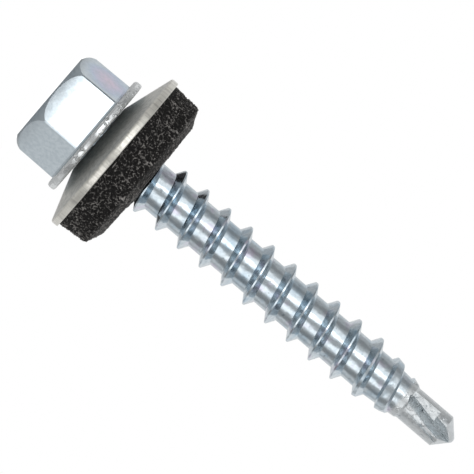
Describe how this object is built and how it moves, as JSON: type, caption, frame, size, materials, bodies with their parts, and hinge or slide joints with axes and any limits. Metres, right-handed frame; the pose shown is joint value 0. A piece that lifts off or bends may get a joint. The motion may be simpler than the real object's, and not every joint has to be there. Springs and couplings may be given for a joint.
{
  "type": "self drilling screw",
  "caption": "Hex washer head self-drilling screw with coarse thread, drill point and a captive steel and rubber sealing washer.",
  "frame": {"origin": "centre of the flat top of the hex head, on which the screw stands", "axes": "+Z along the screw's axis from the head to the drill tip; +X and -X square to one view of the hexagon's corners"},
  "size_m": [0.014, 0.014, 0.0399],
  "materials": {
    "zinc_plated_steel": "bright zinc plating, faint blue and lavender tints",
    "washer_steel": "zinc-coated pressed sheet, satin",
    "rubber": "black EPDM with a rough, granular moulded side"
  },
  "bodies": {
    "screw": {"screw": "zinc_plated_steel"},
    "washer": {"steel_washer": "washer_steel", "rubber_seal": "rubber"}
  },
  "joints": [
    {"name": "washer_spin", "type": "hinge", "parent": "screw", "child": "washer", "pos_m": [0, 0, 0.0055], "axis": [0, 0, 1], "continuous": true}
  ]
}
